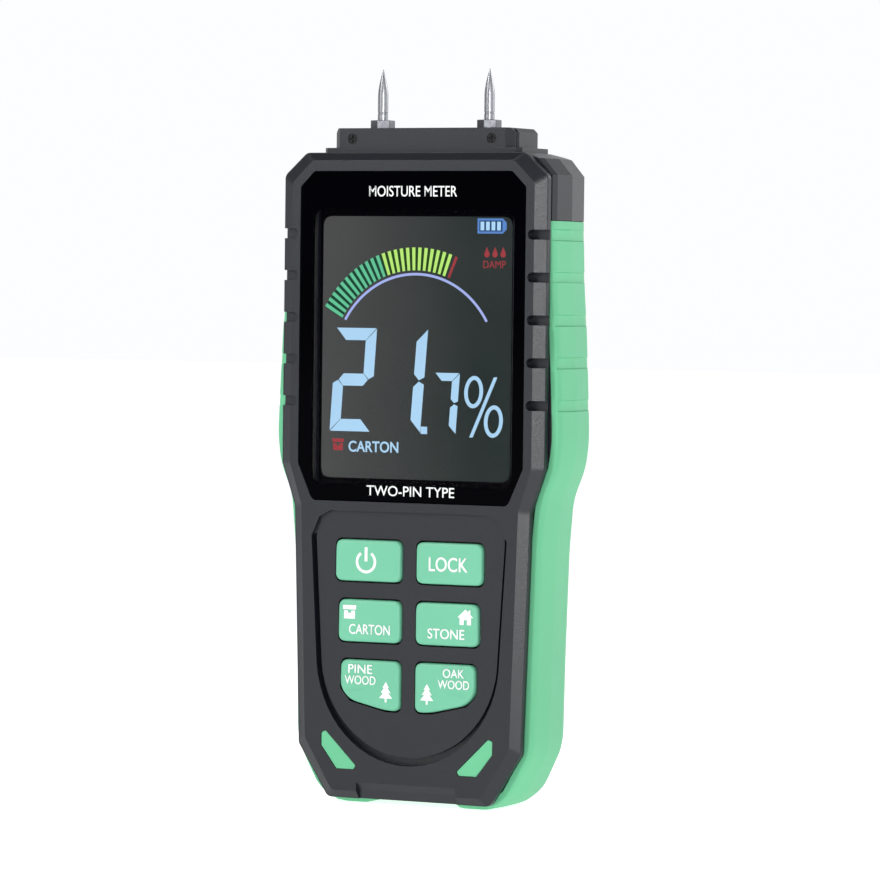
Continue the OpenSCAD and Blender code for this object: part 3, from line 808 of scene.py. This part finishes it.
def label_window():
    top = WINDOW_FACE - 0.01     # clear of the window's face
    print_words("type_label", "MOISTURE METER", (0.0, 143.2), 23.0, 2.5, top, PRINT, bold=0.006)
    print_words("sensor_label", "TWO-PIN TYPE", (0.2, 73.5), 23.0, 2.4, top, PRINT, bold=0.006)


# ---------------------------------------------------------------- camera

AIM = (0.0, 8.0, 78.0)
AZIMUTH, ELEVATION, ROLL = 27.5, 2.1, 0.68
DISTANCE = 1150.0
LENS, SENSOR = 201.4, 36
SHIFT = (0.017273, 0.035682)     # of the picture's width, to bring AIM to its place in it


def build_camera():
    data = bpy.data.cameras.new("camera")
    data.lens = LENS
    data.sensor_width = SENSOR
    data.shift_x, data.shift_y = SHIFT
    data.clip_end = 50
    cam = bpy.data.objects.new("camera", data)
    a, e = math.radians(AZIMUTH), math.radians(ELEVATION)
    back = Vector((math.sin(a) * math.cos(e), -math.cos(a) * math.cos(e), math.sin(e)))
    right = Vector((math.cos(a), math.sin(a), 0))
    up = back.cross(right)
    turn = Matrix((right, up, back)).transposed() @ Matrix.Rotation(math.radians(ROLL), 3, "Z")
    cam.matrix_world = Matrix.Translation(at(*AIM) + back * DISTANCE * MM) @ turn.to_4x4()
    bpy.context.scene.collection.objects.link(cam)
    bpy.context.scene.camera = cam


# ---------------------------------------------------------------- floor and light

# Name, place and size in metres, and power in watts; all face a point on the meter
LIGHTS = [("fill_light", (-0.55, -0.95, 0.42), (0.3, 0.3), 1.6),
          ("key_light", (-0.5, -0.8, 0.85), (0.4, 0.4), 6),
          ("front_right_light", (0.62, -1.0, 0.2), (0.25, 0.5), 5),
          ("side_light", (0.75, 0.8, 0.55), (0.5, 0.5), 4)]
LIT_POINT = (0, 0, 0.08)
FLOOR_HALF = 6.0                 # metres
FLOOR_GLOW = 0.76                # keeps the floor as white as the surround


def area_light(name, place, size, power):
    data = bpy.data.lights.new(name, "AREA")
    data.shape = "RECTANGLE"
    data.size, data.size_y = size
    data.energy = power
    lamp = bpy.data.objects.new(name, data)
    lamp.location = place
    lamp.rotation_euler = (Vector(place) - Vector(LIT_POINT)).to_track_quat("Z", "Y").to_euler()
    bpy.context.scene.collection.objects.link(lamp)


def studio_world():
    """Soft white surround, dimmer overhead and towards the front left."""
    world = bpy.data.worlds.new("studio")
    world.use_nodes = True
    nodes, links = world.node_tree.nodes, world.node_tree.links
    way = nodes.new("ShaderNodeTexCoord").outputs["Generated"]
    side = nodes.new("ShaderNodeVectorMath")
    side.operation = "DOT_PRODUCT"
    side.inputs[1].default_value = (0.6, 0.8, 0.0)
    links.new(way, side.inputs[0])
    split = nodes.new("ShaderNodeSeparateXYZ")
    links.new(way, split.inputs["Vector"])
    both = nodes.new("ShaderNodeMath")
    both.operation = "MULTIPLY"
    links.new(map_range(nodes, links, side.outputs["Value"], (0.16, 1.0), (-1.0, 0.35)), both.inputs[0])
    links.new(map_range(nodes, links, split.outputs["Z"], (1.0, 0.2), (0.2, 0.8)), both.inputs[1])
    links.new(both.outputs["Value"], nodes["Background"].inputs["Strength"])
    nodes["Background"].inputs["Color"].default_value = (0.98, 0.985, 1.0, 1)
    bpy.context.scene.world = world


def build_stage():
    mesh = bpy.data.meshes.new("floor")
    mesh.from_pydata([(x, z, 0) for x, z in rectangle(-FLOOR_HALF, -FLOOR_HALF, FLOOR_HALF, FLOOR_HALF)],
                     [], [(0, 1, 2, 3)])
    mat = surface("floor_paint", (0.72, 0.72, 0.72), 0.7, grain=40, bump=0.0, vary=0.01)
    bsdf = mat.node_tree.nodes["Principled BSDF"]
    bsdf.inputs["Emission Color"].default_value = (1, 1, 1, 1)
    bsdf.inputs["Emission Strength"].default_value = FLOOR_GLOW
    mesh.materials.append(mat)
    floor = bpy.data.objects.new("floor", mesh)
    bpy.context.scene.collection.objects.link(floor)
    studio_world()
    bpy.context.scene.view_settings.view_transform = "Standard"
    for light in LIGHTS:
        area_light(*light)


# ---------------------------------------------------------------- build

build_camera()
dress_nodes()
build_boot()
for key_node in KEY_NODES:
    build_key(key_node)
build_pin("left_pin")
build_pin("right_pin")
label_keys()
build_window()
build_display()
label_window()
build_stage()
